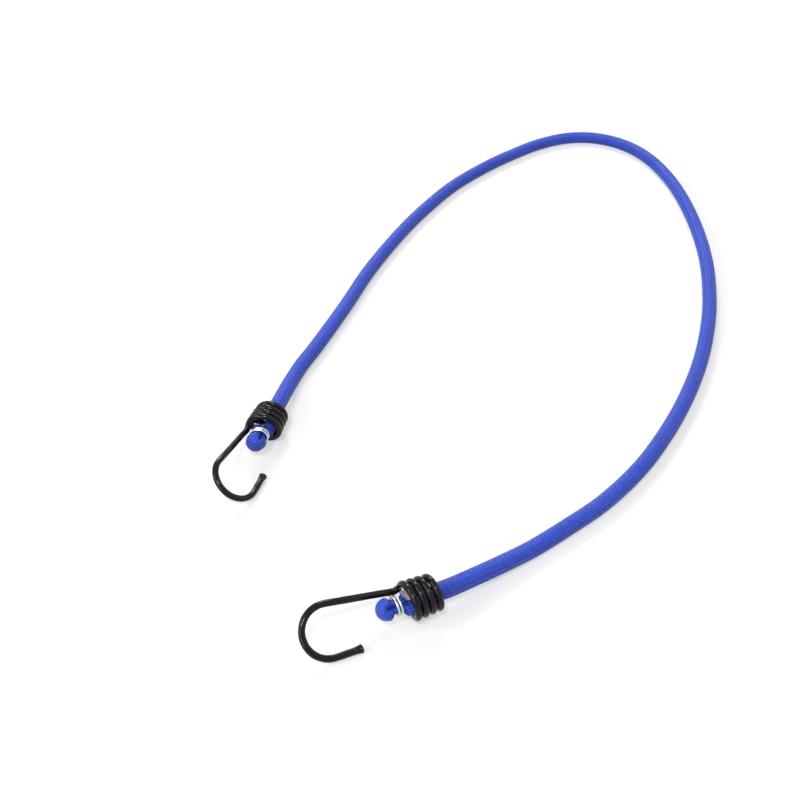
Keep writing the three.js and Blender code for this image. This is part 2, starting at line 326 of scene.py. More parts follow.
@dataclass(frozen=True)
class BraidFinish(Finish):
    """Satin filament yarn: fine lines along each yarn, yarns that differ a little, crowns lighter
    from wear and dips darkened as painted shade.
    """

    name: str = "blue_braid"
    shade: Colour = (0.012, 0.032, 0.28, 1)
    light: Colour = (0.052, 0.13, 0.92, 1)
    filaments: float = 10
    line_length: float = 0.35
    line_tone: float = 0.9
    yarn_tone: float = 0.16
    crown_wear_and_dip_shade: float = 0.16
    wear_scale: float = 70
    wear_tone: float = 0.3
    roughness: float = 0.32
    line_roughness: float = 0.2
    wear_roughness: float = 0.15
    roughness_limits: Limits = (0.22, 0.6)
    specular: float = 0.4
    relief: float = 0.4
    relief_depth: float = 0.06

    def paint(self, graph: Graph) -> None:
        """Fills the material's nodes.

        Args:
            graph: The material's graph.
        """
        place = graph.along_strand(self.filaments, self.line_length)
        lines = graph.noise(1, detail=3, place=place)
        settings, sockets = {"noise_dimensions": "1D"}, {"W": graph.mark("yarn")}
        own = graph.out(graph.node("ShaderNodeTexWhiteNoise", settings, sockets))
        worn = graph.noise(self.wear_scale, detail=3)
        tone = 0.5 + lines.sway(self.line_tone) + own.sway(self.yarn_tone)
        # Lighter where a yarn crosses over, as wear, and darker where it dips under, as painted
        # shade.
        tone = tone + graph.mark("crown") * self.crown_wear_and_dip_shade + worn.sway(self.wear_tone)
        rough = lines.sway(self.line_roughness) + worn.sway(self.wear_roughness) + self.roughness
        graph.surface(
            Base_Color=graph.blend(tone.within(0, 1), self.shade, self.light),
            Roughness=rough.within(*self.roughness_limits),
            Specular_IOR_Level=self.specular,
            Normal=graph.bump(lines, self.relief, self.relief_depth),
        )


@dataclass(frozen=True)
class ShadeSheetFinish(Finish):
    """Inside of the sheath, dark between the yarns: its colour is painted shade."""

    name: str = "painted_shade_inside_sheath"
    shade: Colour = (0.004, 0.01, 0.09, 1)
    light: Colour = (0.012, 0.03, 0.25, 1)
    grain_scale: float = 1400
    roughness: float = 0.7
    grain_roughness: float = 0.3
    relief: float = 0.4
    relief_depth: float = 0.1

    def paint(self, graph: Graph) -> None:
        """Fills the material's nodes.

        Args:
            graph: The material's graph.
        """
        grain = graph.noise(self.grain_scale, detail=2)
        graph.surface(
            Base_Color=graph.blend(grain, self.shade, self.light),
            Roughness=self.roughness + grain.sway(self.grain_roughness),
            Normal=graph.bump(grain, self.relief, self.relief_depth),
        )


@dataclass(frozen=True)
class RubberFinish(Finish):
    """Natural rubber threads, a little waxy, with darker marks from the cut."""

    name: str = "cream_rubber"
    shade: Colour = (0.88, 0.70, 0.52, 1)
    light: Colour = (0.98, 0.87, 0.72, 1)
    tone: float = 0.8
    patch_scale: float = 500
    patch_tone: float = 0.8
    grain_scale: float = 3500
    grain_tone: float = 0.5
    roughness: float = 0.62
    grain_roughness: float = 0.3
    roughness_limits: Limits = (0.4, 0.9)
    wax: float = 0.15
    wax_reach: Place = (1.0, 0.6, 0.35)
    wax_depth: float = 0.4
    relief: float = 0.35
    relief_depth: float = 0.08

    def paint(self, graph: Graph) -> None:
        """Fills the material's nodes.

        Args:
            graph: The material's graph.
        """
        patches = graph.noise(self.patch_scale, detail=3)
        grain = graph.noise(self.grain_scale, detail=2)
        tone = self.tone + patches.sway(self.patch_tone) + grain.sway(self.grain_tone)
        rough = self.roughness + grain.sway(self.grain_roughness)
        graph.surface(
            Base_Color=graph.blend(tone.within(0, 1), self.shade, self.light),
            Roughness=rough.within(*self.roughness_limits),
            Subsurface_Weight=self.wax,
            Subsurface_Radius=self.wax_reach,
            Subsurface_Scale=self.wax_depth * MM,
            Normal=graph.bump(grain, self.relief, self.relief_depth),
        )


@dataclass(frozen=True)
class FrayFinish(Finish):
    """Loose filaments, bleached in patches."""

    name: str = "loose_filament"
    shade: Colour = (0.016, 0.045, 0.42, 1)
    light: Colour = (0.08, 0.15, 0.75, 1)
    patch_scale: float = 900
    patch_tone: float = 2
    roughness: float = 0.45
    patch_roughness: float = 0.2

    def paint(self, graph: Graph) -> None:
        """Fills the material's nodes.

        Args:
            graph: The material's graph.
        """
        pale = graph.noise(self.patch_scale, detail=2)
        tone = pale.sway(self.patch_tone) + 0.5
        graph.surface(
            Base_Color=graph.blend(tone.within(0, 1), self.shade, self.light),
            Roughness=self.roughness + pale * self.patch_roughness,
        )


@dataclass(frozen=True)
class CoatFinish(Finish):
    """Glossy dipped plastic over wire: shallow waves, fine pits and rubbed patches."""

    name: str = "black_coat"
    base: Colour = (0.0036, 0.002, 0.0021, 1)
    rubbed: Colour = (0.011, 0.0068, 0.0066, 1)
    rub_scale: float = 90
    rub_tone: float = 4
    pit_scale: float = 2600
    pit_tone: float = 0.2
    pit_relief: float = 0.05
    wave_scale: float = 220
    roughness: float = 0.1
    rub_roughness: float = 0.08
    pit_roughness: float = 0.08
    roughness_limits: Limits = (0.05, 0.4)
    specular: float = 0.22
    lumps: float = 0.3
    lump_depth: float = 0.12

    def paint(self, graph: Graph) -> None:
        """Fills the material's nodes.

        Args:
            graph: The material's graph.
        """
        waves = graph.noise(self.wave_scale, detail=2)
        pits = graph.noise(self.pit_scale, detail=3)
        rub = graph.noise(self.rub_scale, detail=4).sway(self.rub_tone).within(0, 1)
        tone = rub * (1 - self.pit_tone) + pits * self.pit_tone
        rough = self.roughness + rub * self.rub_roughness + pits.sway(self.pit_roughness)
        height = waves * (1 - self.pit_relief) + pits * self.pit_relief
        graph.surface(
            Base_Color=graph.blend(tone, self.base, self.rubbed),
            Roughness=rough.within(*self.roughness_limits),
            Specular_IOR_Level=self.specular,
            Normal=graph.bump(height, self.lumps, self.lump_depth),
        )


TIP_COAT = CoatFinish(name="tip_coat", rubbed=(0.05, 0.045, 0.04, 1), lumps=0.9)


@dataclass(frozen=True)
class BrightWireFinish(Finish):
    """Plated wire with drawing lines along it and duller spots."""

    name: str = "bright_wire"
    shade: Colour = (0.3, 0.3, 0.31, 1)
    light: Colour = (0.74, 0.74, 0.75, 1)
    drawn_lines: float = 30
    line_length: float = 0.12
    tone: float = 0.75
    spot_scale: float = 900
    spot_tone: float = 0.9
    roughness: float = 0.2
    line_roughness: float = 0.16
    spot_roughness: float = 0.2
    roughness_limits: Limits = (0.08, 0.5)
    relief: float = 0.15
    relief_depth: float = 0.03

    def paint(self, graph: Graph) -> None:
        """Fills the material's nodes.

        Args:
            graph: The material's graph.
        """
        place = graph.along_strand(self.drawn_lines, self.line_length)
        lines = graph.noise(1, detail=2, place=place)
        spots = graph.noise(self.spot_scale, detail=3)
        tone = self.tone + spots.sway(self.spot_tone)
        rough = lines.sway(self.line_roughness) + spots.sway(self.spot_roughness) + self.roughness
        graph.surface(
            Base_Color=graph.blend(tone.within(0, 1), self.shade, self.light),
            Metallic=1.0,
            Roughness=rough.within(*self.roughness_limits),
            Normal=graph.bump(lines, self.relief, self.relief_depth),
        )


@dataclass(frozen=True)
class FloorFinish(Finish):
    """Plain white paper, which throws less light back on the cord than the camera sees."""

    name: str = "white_floor"
    shade: Colour = (0.52, 0.52, 0.52, 1)
    light: Colour = (0.56, 0.56, 0.56, 1)
    grain_scale: float = 40
    thrown: Colour = (0.3, 0.3, 0.3, 1)
    glow: Colour = (0.5, 0.5, 0.5, 1)
    glow_start: float = 0.45
    glow_rise: float = 1.6
    roughness: float = 0.8
    specular: float = 0.1

    def paint(self, graph: Graph) -> None:
        """Fills the material's nodes.

        Args:
            graph: The material's graph.
        """
        seen = graph.seen()
        paper = graph.blend(graph.noise(self.grain_scale, detail=3), self.shade, self.light)
        far = ((graph.away() - self.glow_start) * self.glow_rise).within(0, 1)
        graph.surface(
            Base_Color=graph.blend(seen, self.thrown, paper),
            Roughness=self.roughness,
            Specular_IOR_Level=self.specular,
            Emission_Color=graph.blend(seen, BLACK, graph.blend(far, self.glow, WHITE)),
            Emission_Strength=1,
        )


def unit(vectors: np.ndarray) -> np.ndarray:
    """Vectors of length one."""
    return vectors / np.linalg.norm(vectors, axis=-1, keepdims=True)


def ease(share: np.ndarray) -> np.ndarray:
    """Smooth step from 0 to 1."""
    return share * share * (3 - 2 * share)


def mix(low: Any, high: Any, share: np.ndarray) -> np.ndarray:
    """Values between low and high."""
    return low + (high - low) * share


def lengths_along(points: np.ndarray) -> np.ndarray:
    """Distance of each point from the first, along the line."""
    steps = np.linalg.norm(np.diff(points, axis=0), axis=1)
    return np.concatenate([[0.0], np.cumsum(steps)])


def smooth_curve(points: np.ndarray, per_span: int) -> np.ndarray:
    """A centripetal Catmull-Rom curve.

    Args:
        points: The points that it passes through.
        per_span: Samples between two of them.

    Returns:
        Points of the curve.
    """
    padded = np.vstack([2 * points[0] - points[1], points, 2 * points[-1] - points[-2]])
    gaps = np.sqrt(np.linalg.norm(np.diff(padded, axis=0), axis=1))[:, None]
    before, first, second, after = padded[:-3], padded[1:-2], padded[2:-1], padded[3:]
    gap_in, gap, gap_out = gaps[:-2], gaps[1:-1], gaps[2:]
    leave = (first - before) / gap_in - (second - before) / (gap_in + gap) + (second - first) / gap
    reach = (second - first) / gap - (after - first) / (gap + gap_out) + (after - second) / gap_out
    leave = leave * gap
    reach = reach * gap
    share = np.linspace(0, 1, per_span, endpoint=False)[None, :, None]
    first, second, leave, reach = (a[:, None, :] for a in (first, second, leave, reach))
    cubic = 2 * first - 2 * second + leave + reach
    square = 3 * second - 3 * first - 2 * leave - reach
    spans = ((cubic * share + square) * share + leave) * share + first
    return np.vstack([spans.reshape(-1, 3), points[-1:]])


def evenly(columns: np.ndarray, step: float) -> np.ndarray:
    """Rows at an even spacing along the line that the first three columns give.

    Args:
        columns: One row for each point, with its place first.
        step: Spacing wanted.

    Returns:
        The new rows.
    """
    run = lengths_along(columns[:, PLACE])
    at = np.linspace(0, run[-1], round(run[-1] / step) + 1)
    return np.stack([np.interp(at, run, column) for column in columns.T], axis=1)


def polyline(name: str, points: np.ndarray, marks: dict[str, np.ndarray], lines: int = 1) -> Mesh:
    """A mesh of open lines.

    Args:
        name: The mesh's name.
        points: Their points in millimetres, one line after the other.
        marks: Values of each point, by attribute name.
        lines: How many lines there are, all of as many points.

    Returns:
        The mesh, in metres.
    """
    mesh = bpy.data.meshes.new(name)
    each = len(points) // lines
    starts = [start for start in range(len(points) - 1) if (start + 1) % each]
    mesh.from_pydata((points * MM).tolist(), [(start, start + 1) for start in starts], [])
    for label, values in marks.items():
        kind, item = ("FLOAT_VECTOR", "vector") if values.ndim == 2 else ("FLOAT", "value")
        attribute = mesh.attributes.new(label, kind, "POINT")
        attribute.data.foreach_set(item, values.astype(np.float32).ravel())
    return mesh


def link(name: str, mesh: Mesh) -> Object:
    """Puts a mesh in the scene as an object.

    Args:
        name: The object's name.
        mesh: Its mesh.

    Returns:
        The object.
    """
    made = bpy.data.objects.new(name, mesh)
    bpy.context.scene.collection.objects.link(made)
    return made


def grown(name: str, line: Mesh, tree: NodeTree, sizes: dict[str, Any]) -> Object:
    """Runs a geometry tree on a line.

    Args:
        name: Name of the new piece.
        line: The line that the piece follows.
        tree: The geometry tree.
        sizes: Values of its inputs, by name.

    Returns:
        The piece, as a plain mesh.
    """
    carrier = link(name + "_line", line)
    modifier = carrier.modifiers.new("grow", "NODES")
    modifier.node_group = tree
    for item in tree.interface.items_tree:
        if item.in_out == "INPUT" and item.name in sizes:
            modifier[item.identifier] = sizes[item.name]
    depsgraph = bpy.context.evaluated_depsgraph_get()
    mesh = bpy.data.meshes.new_from_object(carrier.evaluated_get(depsgraph))
    mesh.name = name
    bpy.data.objects.remove(carrier)
    bpy.data.meshes.remove(line)
    return link(name, mesh)


def chart_strands(mesh: Mesh, rings: int, sides: int, run: np.ndarray) -> None:
    """Gives a mesh of equal strands its pattern map and a bake map of one strip for each strand.

    Args:
        mesh: The mesh, whose points go round each ring, and ring by ring along each strand.
        rings: Rings of one strand.
        sides: Points of a ring.
        run: Length at each ring, in millimetres.
    """
    corner = np.empty(len(mesh.loops), np.int32)
    mesh.loops.foreach_get("vertex_index", corner)
    strand, place = np.divmod(corner, rings * sides)
    ring, around = np.divmod(place, sides)
    count = np.empty(len(mesh.polygons), np.int32)
    mesh.polygons.foreach_get("loop_total", count)
    face = np.repeat(np.arange(len(count)), count)
    closes = np.zeros(len(count), bool)
    closes[face[around == sides - 1]] = True
    around = around + sides * ((around == 0) & closes[face])
    strands = len(mesh.vertices) // (rings * sides)
    across = (strand + STRIP_EDGE + (1 - 2 * STRIP_EDGE) * around / sides) / strands
    charts = {
        PATTERN_MAP: (around / sides + strand, run[ring]),
        BAKE_MAP: (across, MAP_EDGE + (1 - 2 * MAP_EDGE) * ring / (rings - 1)),
    }
    for name, chart in charts.items():
        layer = mesh.uv_layers.new(name=name)
        layer.uv.foreach_set("vector", np.stack(chart, axis=1).astype(np.float32).ravel())


class Sweep(Graph):
    """A geometry tree that turns a line into swept strands."""

    def __init__(self, name: str, inputs: dict[str, str]) -> None:
        """Starts the tree.

        Args:
            name: The tree's name.
            inputs: Socket types of its inputs, by name. Its line comes before them, as Path, and
                its material after them.
        """
        super().__init__(bpy.data.node_groups.new(name, "GeometryNodeTree"))
        kinds = {"Path": "NodeSocketGeometry", **inputs, "Material": "NodeSocketMaterial"}
        face = self.tree.interface
        for label, kind in kinds.items():
            face.new_socket(label, in_out="INPUT", socket_type=kind)
        face.new_socket("Mesh", in_out="OUTPUT", socket_type="NodeSocketGeometry")
        group = self.node("NodeGroupInput")
        self.sizes = {label: self.out(group, label) for label in kinds}
        line = self.node("GeometryNodeMeshToCurve", None, {"Mesh": self.sizes["Path"]})
        self.path = self.out(line)

    def named(self, name: str, kind: str = "FLOAT") -> Val:
        """A value that the line keeps on its points."""
        settings, sockets = {"data_type": kind}, {"Name": name}
        return self.out(self.node("GeometryNodeInputNamedAttribute", settings, sockets))

    def copies(self, amount: Val) -> tuple[Val, Val]:
        """Copies the line.

        Args:
            amount: How many copies there are.

        Returns:
            The copies, and the number of each.
        """
        sockets = {"Geometry": self.path, "Amount": amount}
        made = self.node("GeometryNodeDuplicateElements", {"domain": "SPLINE"}, sockets)
        return self.out(made), self.out(made, "Duplicate Index")

    def moved(self, geometry: Val, offset: Val) -> Val:
        """Geometry with its points moved."""
        sockets = {"Geometry": geometry, "Offset": offset}
        return self.out(self.node("GeometryNodeSetPosition", None, sockets))

    def kept(self, geometry: Val, name: str, value: Val) -> Val:
        """Keeps a number on each point for the material.

        Args:
            geometry: The points.
            name: The attribute's name.
            value: The number.

        Returns:
            The geometry with the number.
        """
        settings = {"data_type": "FLOAT", "domain": "POINT"}
        sockets = {"Geometry": geometry, "Name": name, "Value": value}
        return self.out(self.node("GeometryNodeStoreNamedAttribute", settings, sockets))

    def circle(self, radius: Any) -> Val:
        """A round outline."""
        sockets = {"Resolution": self.sizes["Sides"], "Radius": radius}
        return self.out(self.node("GeometryNodeCurvePrimitiveCircle", None, sockets))

    def ring(self, angle: Val, half_side: Val, half_lift: Val) -> tuple[Val, Val]:
        """Place and outward direction on the cord's section.

        Args:
            angle: Angle round the section.
            half_side: Reach of the section to its side.
            half_lift: Reach of the section upwards.

        Returns:
            The offset from the cord's line, and the direction out of the section there.
        """
        side = self.named("side", "FLOAT_VECTOR")
        lift = self.named("lift", "FLOAT_VECTOR")
        cosine = angle.apply("COSINE")
        sine = angle.apply("SINE")
        offset = self.total(
            self.vector("SCALE", side, half_side * cosine),
            self.vector("SCALE", lift, half_lift * sine),
        )
        outward = self.total(
            self.vector("SCALE", side, half_lift * cosine),
            self.vector("SCALE", lift, half_side * sine),
        )
        return offset, outward

    def swept(self, path: Val, outline: Val, **others: Val) -> Val:
        """A closed mesh of an outline along a curve."""
        sockets = {"Curve": path, "Profile Curve": outline, "Fill Caps": True, **others}
        return self.out(self.node("GeometryNodeCurveToMesh", None, sockets))

    def end(self, mesh: Val) -> NodeTree:
        """Ends the tree in a plain, smooth mesh of its material.

        Args:
            mesh: The mesh.

        Returns:
            The tree.
        """
        plain = self.out(self.node("GeometryNodeRealizeInstances", None, {"Geometry": mesh}))
        smooth = self.out(self.node("GeometryNodeSetShadeSmooth", None, {"Geometry": plain}))
        sockets = {"Geometry": smooth, "Material": self.sizes["Material"]}
        dressed = self.out(self.node("GeometryNodeSetMaterial", None, sockets))
        self.node("NodeGroupOutput", None, {"Mesh": dressed})
        return self.tree


class SweepTrees:
    """The geometry trees of yarns, threads and wires."""

    # Points round a yarn's outline, how far each ring of threads is turned on the one inside, and
    # what keeps a whole number from being rounded up.
    yarn_sides = 4
    ring_turn = 0.4
    rounding = 0.001

    def __init__(self) -> None:
        """Builds the three trees."""
        self.braid = self._braid()
        self.bundle = self._bundle()
        self.wire = self._wire()

    def build_wire(
        self,
        name: str,
        points: np.ndarray,
        radius: np.ndarray,
        run: np.ndarray,
        sides: int,
        material: Material,
    ) -> Object:
        """Builds round wire along lines of as many points each.

        Args:
            name: Name of the piece.
            points: Points of the lines in millimetres, one line after the other.
            radius: The wire's radius at each point, in millimetres.
            run: Length at each point of one line, in millimetres.
            sides: Points round the wire.
            material: The wire's material.

        Returns:
            The piece.
        """
        lines = len(points) // len(run)
        mesh = polyline(name + "_line", points, {"radius": radius * MM}, lines)
        piece = grown(name, mesh, self.wire, {"Sides": sides, "Material": material})
        chart_strands(piece.data, len(run), sides, run)
        return piece

    def _yarns(self, sweep: Sweep, outline: Val, hand: Hand) -> Val:
        """Yarns of one hand, each over two and under two of the other hand.

        Args:
            sweep: The braid's tree.
            outline: Outline of a yarn.
            hand: The way that they wind.

        Returns:
            Their mesh.
        """
        way = hand.value
        sizes, yarns = sweep.sizes, sweep.sizes["Yarns"]
        copies, index = sweep.copies(yarns)
        turns = sweep.named("run") / sizes["Lay"]
        angle = (index / yarns + turns * way) * TAU
        # A yarn crosses each yarn of the other hand twice in a turn. Four crossings make a wave.
        crossings = turns * yarns * 2
        crown = ((index * 2 + crossings * way + 0.5) * (TAU / 4)).apply("SINE") * way
        inset = sizes["Wave"] * (crown - 1) - sizes["Crown"]
        half_side, half_lift = sweep.named("half_side") + inset, sweep.named("half_lift") + inset
        offset, outward = sweep.ring(angle, half_side, half_lift)
        sockets = {"Curve": sweep.moved(copies, offset), "Normal": outward}
        faced = sweep.out(sweep.node("GeometryNodeSetCurveNormal", {"mode": "FREE"}, sockets))
        number = index if hand is Hand.RIGHT else index + yarns
        # The braid's material also reads crown to darken the dips, as painted shade, and to lighten
        # the crowns, as wear.
        marked = sweep.kept(sweep.kept(faced, "yarn", number), "crown", crown)
        return sweep.swept(marked, outline)

    def _braid(self) -> NodeTree:
        """Two hands of flat yarns braided round a line.

        Returns:
            The tree.
        """
        lengths = dict.fromkeys(("Lay", "Width", "Crown", "Belly", "Wave"), "NodeSocketFloat")
        sweep = Sweep("braid", {"Yarns": "NodeSocketInt", **lengths})
        half = sweep.sizes["Width"] / 2
        crown, belly = sweep.sizes["Crown"], 0.0 - sweep.sizes["Belly"]
        corners = ((crown, 0.0), (0.0, half), (belly, 0.0), (0.0, 0.0 - half))
        points = {}
        for number, (out, across) in enumerate(corners, 1):
            point = sweep.node("ShaderNodeCombineXYZ", None, {"X": out, "Y": across})
            points[f"Point {number}"] = sweep.out(point)
        outline = sweep.node("GeometryNodeCurvePrimitiveQuadrilateral", {"mode": "POINTS"}, points)
        join = sweep.node("GeometryNodeJoinGeometry")
        for hand in Hand:
            sweep.feed(join.inputs[0], self._yarns(sweep, sweep.out(outline), hand))
        return sweep.end(sweep.out(join))

    def _bundle(self) -> NodeTree:
        """Threads packed in rings of six, twelve and so on round a middle one.

        Returns:
            The tree.
        """
        lengths = dict.fromkeys(("Spacing", "Width", "Reach"), "NodeSocketFloat")
        counts = dict.fromkeys(("Threads", "Sides"), "NodeSocketInt")
        sweep = Sweep("bundle", {**counts, **lengths})
        copies, index = sweep.copies(sweep.sizes["Threads"])
        # Rings 1 to n hold 3 n (n + 1) threads, so the root of that gives a thread's ring.
        ring = (((index * 12 + 9).apply("SQRT") - 3) / 6 - self.rounding).apply("CEIL")
        place = index - 1 - ring * (ring - 1) * 3
        angle = place / (ring * 6).apply("MAXIMUM", 1) * TAU + ring * self.ring_turn
        share = ring * sweep.sizes["Spacing"] / sweep.sizes["Reach"]
        half_side, half_lift = sweep.named("half_side") * share, sweep.named("half_lift") * share
        offset, _ = sweep.ring(angle, half_side, half_lift)
        outline = sweep.circle(sweep.sizes["Width"] / 2)
        return sweep.end(sweep.swept(sweep.moved(copies, offset), outline))

    def _wire(self) -> NodeTree:
        """Round wire along a line, as thick as the line's radius attribute says.

        Returns:
            The tree.
        """
        sweep = Sweep("wire", {"Sides": "NodeSocketInt"})
        wire = sweep.swept(sweep.path, sweep.circle(1.0), Scale=sweep.named("radius"))
        return sweep.end(wire)


@dataclass(frozen=True)
class End:
    """Where one end's coil stands on the table, in millimetres, and the way its hook points."""

    name: str
    body: Body
    x: float
    y: float
    heading: float

    def along(self) -> np.ndarray:
        """Direction of the hook."""
        angle = math.radians(self.heading)
        return np.array([math.cos(angle), math.sin(angle), 0.0])


ENDS = (End("a", Body.HOOK_A, 36.5, -47.5, 205), End("b", Body.HOOK_B, -32.5, 58.5, 254.5))

# Outline of the hook's head, from the wire to the middle of its face: share of the wire's radius,
# share of the head's radius, and millimetres past the end of the wire's line.
HEAD_OUTLINE = (
    (0, 0, -3.4), (0.9, 0, -3.4), (1.01, 0, -3.0), (1.06, 0, -2.2), (0, 0.92, -1.0),
    (0, 1, -0.35), (0, 0.97, 0.05), (0, 0.86, 0.22), (0, 0.7, 0.2), (0, 0.62, 0.0),
    (0, 0.55, -0.1), (0, 0.3, -0.06), (0, 0, -0.04),
)


@dataclass(frozen=True)
class Hook:
    """Sizes of a hook of coated wire, in millimetres.

    They are the solids' sizes. The coat's swells, each with its height, pace and phase, and the
    lobes of the head are finer than the solids.
    """

    cord: float = 8.0
    wire: float = 3.0
    turns: float = 3.65
    turn_gap: float = 0.45
    neck_reach: float = 5.625
    neck_clearance: float = 0.4
    rear_play: float = 2.5
    take_off_radius: float = 2.8
    take_off_angle: float = math.radians(42)
    bore: float = 18.6
    reach: float = 34.6
    sweep: float = math.radians(188)
    tip_length: float = 11.0
    head: float = 3.8
    head_wobble: float = 0.02
    head_lobes: int = 3
    head_phase: float = 0.5
    seat_gap: float = 0.4
    rear_rounding: float = 1.0
    rear_least: float = 0.04
    swells: tuple[Place, ...] = ((0.012, 0.9, 0), (0.01, 0.37, 1))
    even_tip: float = 2.0
    turn_points: int = 16
    bend_points: int = 5
    shank_points: int = 7
    arc_points: int = 17
    smoothing: int = 24
    head_smoothing: int = 4
    head_sides: int = 28
    sides: int = 20
    step: float = 0.5

    @property
    def front_radius(self) -> float:
        """Radius of the coil's front turn, at the wire's middle."""
        return self.neck_reach + self.neck_clearance + self.wire / 2

    @property
    def rear_radius(self) -> float:
        """Radius of the coil's rear turn, at the wire's middle."""
        return (self.cord + self.rear_play + self.wire) / 2

    @property
    def coil_length(self) -> float:
        """Length of the coil between its ends' middles."""
        return self.turns * (self.wire + self.turn_gap)

    @property
    def bight_radius(self) -> float:
        """Radius of the bight, at the wire's middle."""
        return (self.bore + self.wire) / 2

    @property
    def axis_height(self) -> float:
        """Height of the coil's axis over the table."""
        return self.front_radius + self.wire / 2

    @property
    def cord_drop(self) -> float:
        """How far the cord's middle lies under the coil's axis where it leaves the coil."""
        return self.rear_play / 2 - self.seat_gap

    def line(self) -> tuple[np.ndarray, np.ndarray]:
        """Middle line of the wire, with x along the coil's axis and the hook in the plane z = 0.

        Returns:
            Points from the coil's rear end to the tip, and the tip's direction.
        """
        coil_end = self.take_off_angle - self.take_off_radius / self.front_radius
        back = np.linspace(1, 0, round(self.turn_points * self.turns) + 1)
        bend = np.linspace(0, TAU / 4, self.bend_points)[1:]
        x = np.concatenate([-self.coil_length * back, self.take_off_radius * (1 - np.cos(bend))])
        winding = mix(self.front_radius, self.rear_radius, back)
        radius = np.concatenate([winding, 0 * bend + self.front_radius])
        angle = np.concatenate([
            coil_end - TAU * self.turns * back,
            coil_end + self.take_off_radius * np.sin(bend) / self.front_radius,
        ])
        coil = np.stack([x, radius * np.cos(angle), radius * np.sin(angle)], axis=1)
        start = coil[-1]
        bight = self.bight_radius
        gap = np.array([self.reach - start[0], -start[1]])
        slope = math.atan2(gap[1], gap[0]) + math.asin(bight / np.linalg.norm(gap))
        turn = slope + TAU / 4 - np.linspace(0, self.sweep, self.arc_points)
        arc = np.stack([self.reach + bight * np.cos(turn), bight * np.sin(turn), 0 * turn], axis=1)
        share = np.linspace(0, 1, self.shank_points)[1:-1, None]
        shank = mix(start, arc[0], share)
        shank[:, 2] = start[2] * (1 - ease(share[:, 0]))
        tip_way = np.array([math.sin(turn[-1]), -math.cos(turn[-1]), 0.0])
        tip = arc[-1] + tip_way * self.tip_length
        return np.vstack([coil, shank, arc, (arc[-1] + tip) / 2, tip]), tip_way

    def tilt(self) -> float:
        """Angle between the table and the hook's plane, as it lies on its bight or its tip.

        Returns:
            The angle.
        """
        tip = self.line()[0][-1]
        bight_rise = (self.axis_height - self.wire / 2) / self.bight_radius
        head_rise = (self.axis_height - self.head / 2) / -tip[1]
        return math.asin(min(1.0, bight_rise, head_rise))

    def middle(self, end: End) -> np.ndarray:
        """Middle of the coil's front turn."""
        return np.array([end.x, end.y, self.axis_height])

    def placed(self, points: np.ndarray, end: End) -> np.ndarray:
        """Points of the hook's own frame, in the part's frame.

        Args:
            points: Points with x along the coil's axis.
            end: The end that they belong to.

        Returns:
            The points in place.
        """
        return self.middle(end) + points @ self.axes(end)

    def axes(self, end: End) -> np.ndarray:
        """Directions of the hook's frame.

        Args:
            end: The end that it belongs to.

        Returns:
            Rows: along the hook, across it towards the shank, and square to it downwards.
        """
        along = end.along()
        left = np.cross(UP, along)
        tilt = self.tilt()
        across = UP * math.sin(tilt) - left * math.cos(tilt)
        return np.stack([along, across, np.cross(along, across)])

    def build(
        self, end: End, trees: SweepTrees, coat: Material, tip_coat: Material,
    ) -> list[Object]:
        """Builds the coated wire and the flared head on its tip.

        Args:
            end: The end that it belongs to.
            trees: The sweep trees.
            coat: The coat's material.
            tip_coat: The lumpier coat's material on the head.

        Returns:
            The pieces.
        """
        points, tip_way = self.line()
        rows = evenly(smooth_curve(points, self.smoothing), self.step)
        run = lengths_along(rows)
        short = np.clip(1 - run / self.rear_rounding, 0, 1)
        rounding = np.sqrt(np.clip(1 - short**2, self.rear_least, 1))
        swell = np.ones_like(run)
        for rise, pace, phase in self.swells:
            swell += rise * np.sin(run * pace + phase)
        swell = np.where(run[-1] - run < self.even_tip, 1, swell)
        radius = self.wire / 2 * rounding * swell
        name, points = f"hook_{end.name}_wire", self.placed(rows, end)
        wire = trees.build_wire(name, points, radius, run, self.sides, coat)
        return [wire, self.build_head(end, rows[-1], tip_way, tip_coat)]

    def build_head(self, end: End, tip: np.ndarray, way: np.ndarray, coat: Material) -> Object:
        """Builds the flared end of the coat, with the cut wire sunk a little in its face.

        Args:
            end: The end that it belongs to.
            tip: End of the wire's middle line, in the hook's frame.
            way: Direction of the tip.
            coat: The coat's material.

        Returns:
            The head.
        """
        line = np.array([
            (on_wire * self.wire / 2 + on_head * self.head / 2, past, 0)
            for on_wire, on_head, past in HEAD_OUTLINE
        ])
        fine = smooth_curve(line, self.head_smoothing)[:, :2]
        sides = self.head_sides
        across = np.cross(way, UP)
        angle = np.linspace(0, TAU, sides, endpoint=False)
        wobble = 1 + self.head_wobble * np.sin(self.head_lobes * angle + self.head_phase)
        spokes = np.outer(np.cos(angle) * wobble, across) + np.outer(np.sin(angle) * wobble, UP)
        rings = tip + fine[1:-1, 1, None, None] * way + np.abs(fine[1:-1, 0, None, None]) * spokes
        poles = tip + fine[[0, -1], 1, None] * way
        points = self.placed(np.vstack([rings.reshape(-1, 3), poles]), end)
        count = len(rings)
        last = (count - 1) * sides
        faces: list[tuple[int, ...]] = []
        for corner in range(sides):
            follow = (corner + 1) % sides
            faces.append((count * sides, follow, corner))
            faces.append((count * sides + 1, last + corner, last + follow))
            for ring in range(count - 1):
                low, high = ring * sides, (ring + 1) * sides
                faces.append((low + corner, low + follow, high + follow, high + corner))
        mesh = bpy.data.meshes.new(f"hook_{end.name}_tip")
        mesh.from_pydata((points * MM).tolist(), [], faces)
        mesh.materials.append(coat)
        mesh.shade_smooth()
        return link(mesh.name, mesh)


